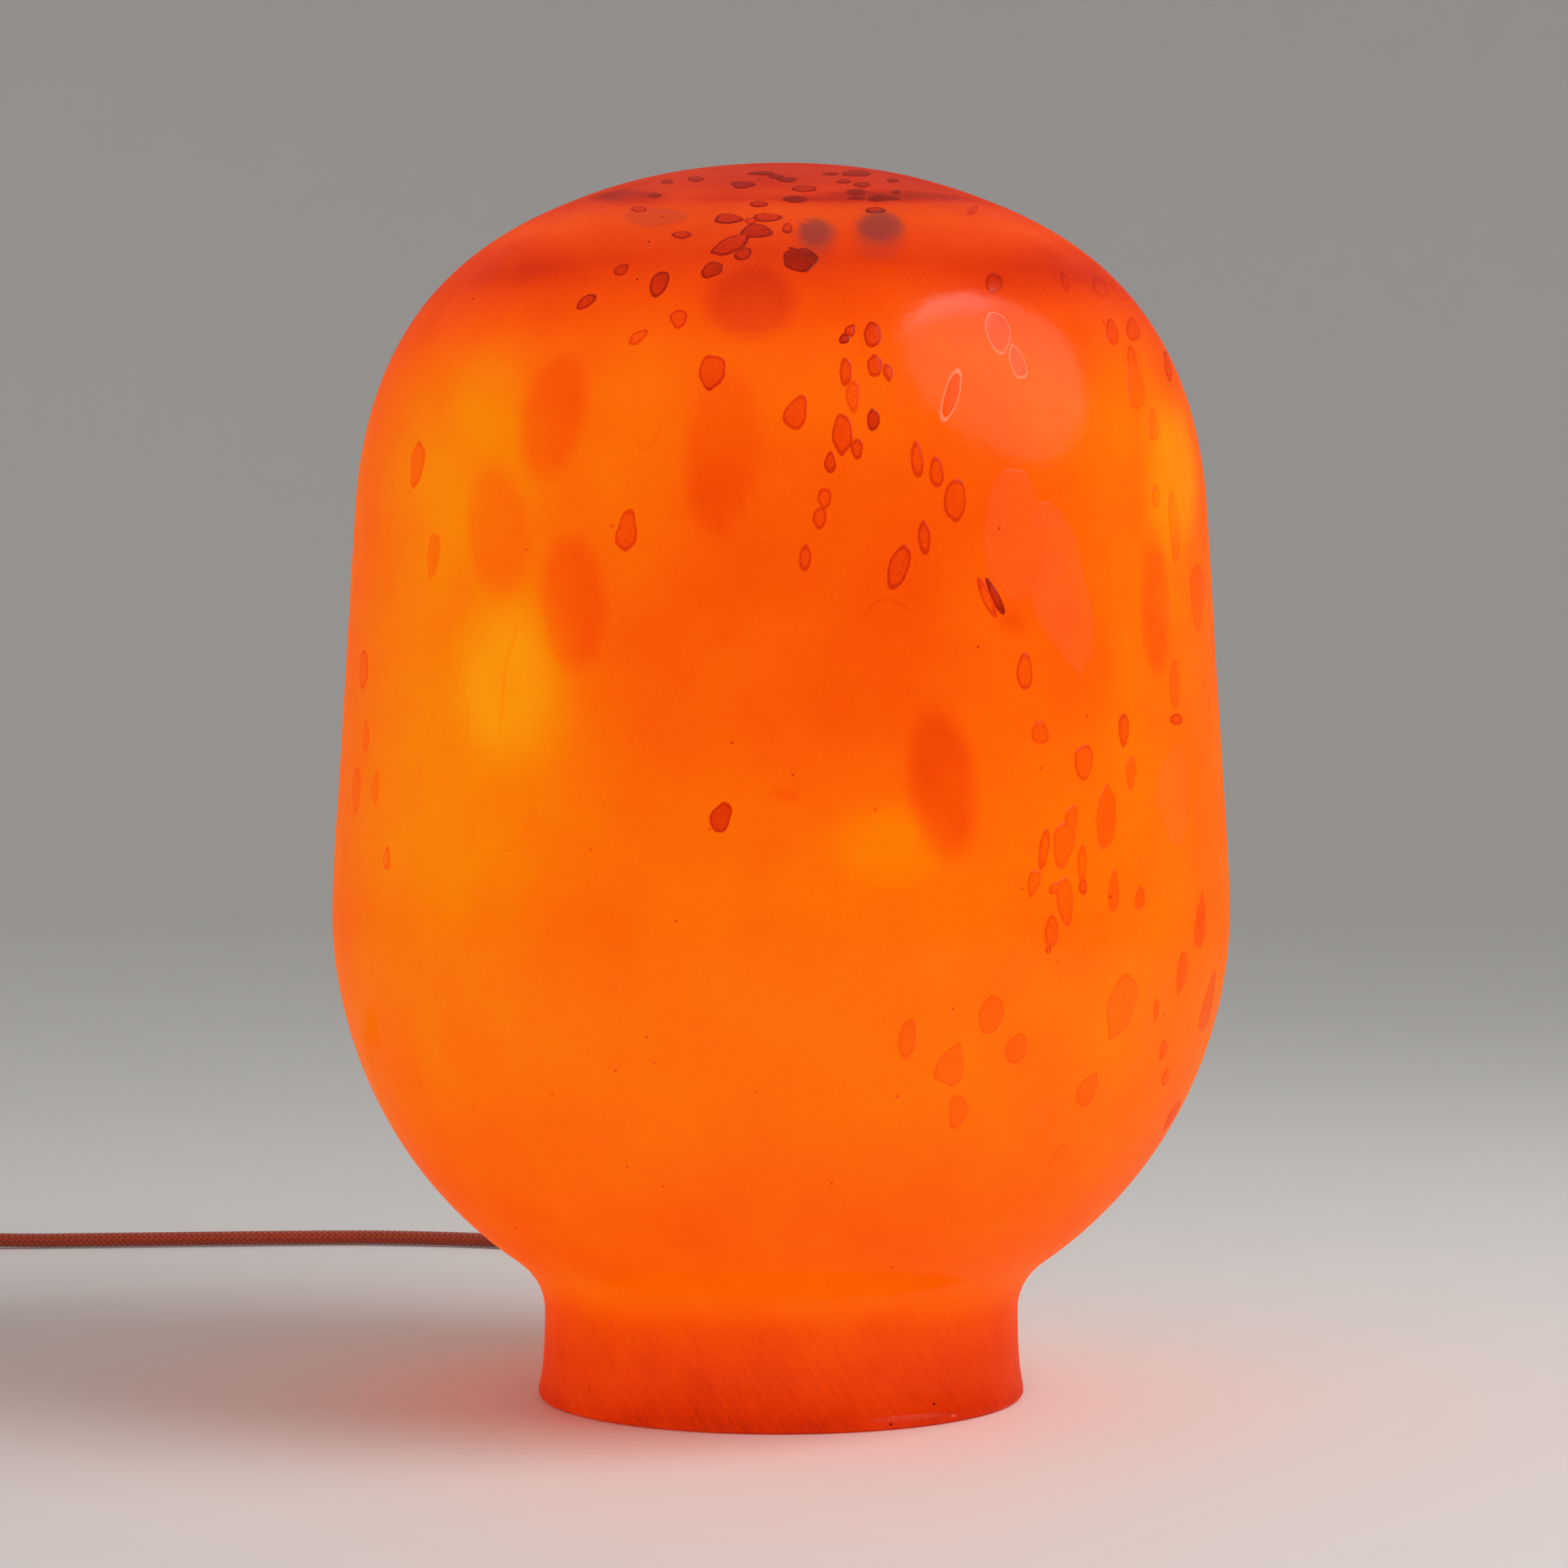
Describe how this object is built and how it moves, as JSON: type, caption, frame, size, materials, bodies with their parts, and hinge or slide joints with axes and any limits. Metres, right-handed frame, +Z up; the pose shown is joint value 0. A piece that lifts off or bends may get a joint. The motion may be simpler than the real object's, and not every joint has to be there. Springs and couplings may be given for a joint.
{
  "type": "table lamp",
  "caption": "Table lamp with a domed one-piece blown glass shade on a short round foot, lifting off a weighted base with a screw bulb, corded with an in-line switch.",
  "frame": {"origin": "on the table, in the middle of the glass rim", "axes": "+Z up along the lamp's axis; -Y is the front; the cord leaves the base at +Y"},
  "size_m": [0.6331, 0.4945, 0.3681],
  "materials": {
    "orange_glass": "blown opal glass, glossy, lit from inside",
    "steel": "bare sheet steel",
    "white_plastic": "moulded, fine texture",
    "clear_silicone": "milky silicone",
    "black_rubber": "matt",
    "zinc_screw": "zinc plated",
    "brass": "bare brass",
    "nickel": "nickel plated",
    "white_ceramic": "glazed",
    "opal_plastic": "opal diffuser",
    "black_insulator": "black glass insulator",
    "aluminium": "bare",
    "green_board": "lacquered board",
    "rust_textile": "braided textile sleeve",
    "brown_core": "core insulation",
    "blue_core": "core insulation",
    "dark_plastic": "moulded, satin",
    "black_strap": "woven strap"
  },
  "bodies": {
    "base": {"base_plate": "steel", "base_cover": "white_plastic", "centring_ring": "clear_silicone", "foot_pad_1": "black_rubber", "foot_pad_2": "black_rubber", "foot_pad_3": "black_rubber", "cover_screw_1": "zinc_screw", "cover_screw_2": "zinc_screw", "cover_screw_3": "zinc_screw", "threaded_tube": "zinc_screw", "lock_washer": "zinc_screw", "tube_nut": "zinc_screw", "holder_cap": "white_plastic", "holder_body": "white_plastic", "holder_insert": "white_ceramic", "screw_shell": "brass", "centre_contact": "brass", "terminal_screw_1": "brass", "terminal_screw_2": "brass", "inner_cord": "rust_textile", "lead_live": "brown_core", "lead_neutral": "blue_core", "clamp_saddle": "white_plastic", "clamp_bar": "white_plastic", "clamp_screw_1": "zinc_screw", "clamp_screw_2": "zinc_screw", "strain_relief": "black_rubber", "switch_base": "dark_plastic", "switch_cover": "dark_plastic", "switch_pin": "zinc_screw", "switch_contact_1": "brass", "switch_contact_2": "brass", "switch_screw_1": "zinc_screw", "switch_screw_2": "zinc_screw", "plug_body": "dark_plastic", "plug_pin_1": "nickel", "plug_pin_2": "nickel", "cord_run": "rust_textile", "cord_link": "rust_textile", "cord_coil": "rust_textile", "cord_tail": "rust_textile", "cord_tie": "black_strap"},
    "glass": {"glass_shade": "orange_glass"},
    "bulb_screw": {"bulb_cap": "nickel", "cap_insulator": "black_insulator", "cap_tip": "nickel"},
    "bulb": {"bulb_collar": "white_plastic", "driver_board": "green_board", "led_board": "aluminium", "bulb_globe": "opal_plastic"},
    "rocker": {"switch_rocker": "dark_plastic"}
  },
  "joints": [
    {"name": "glass_lift", "type": "slide", "parent": "base", "child": "glass", "axis": [0, 0, 1], "range_m": [0, 0.2]},
    {"name": "bulb_rise", "type": "slide", "parent": "base", "child": "bulb_screw", "axis": [0, 0, 1], "range_m": [0, 0.0109]},
    {"name": "bulb_turn", "type": "hinge", "parent": "bulb_screw", "child": "bulb", "pos_m": [0, 0, 0.0917], "axis": [0, 0, 1], "range_deg": [0, 1080]},
    {"name": "switch_rock", "type": "hinge", "parent": "base", "child": "rocker", "pos_m": [-0.378, 0.345, 0.0125], "axis": [0, 1, 0], "range_deg": [0, 16]}
  ],
  "couplings": [
    {"joint": "bulb_rise", "follows": "bulb_turn", "m_per_rad": 0.00057757}
  ]
}
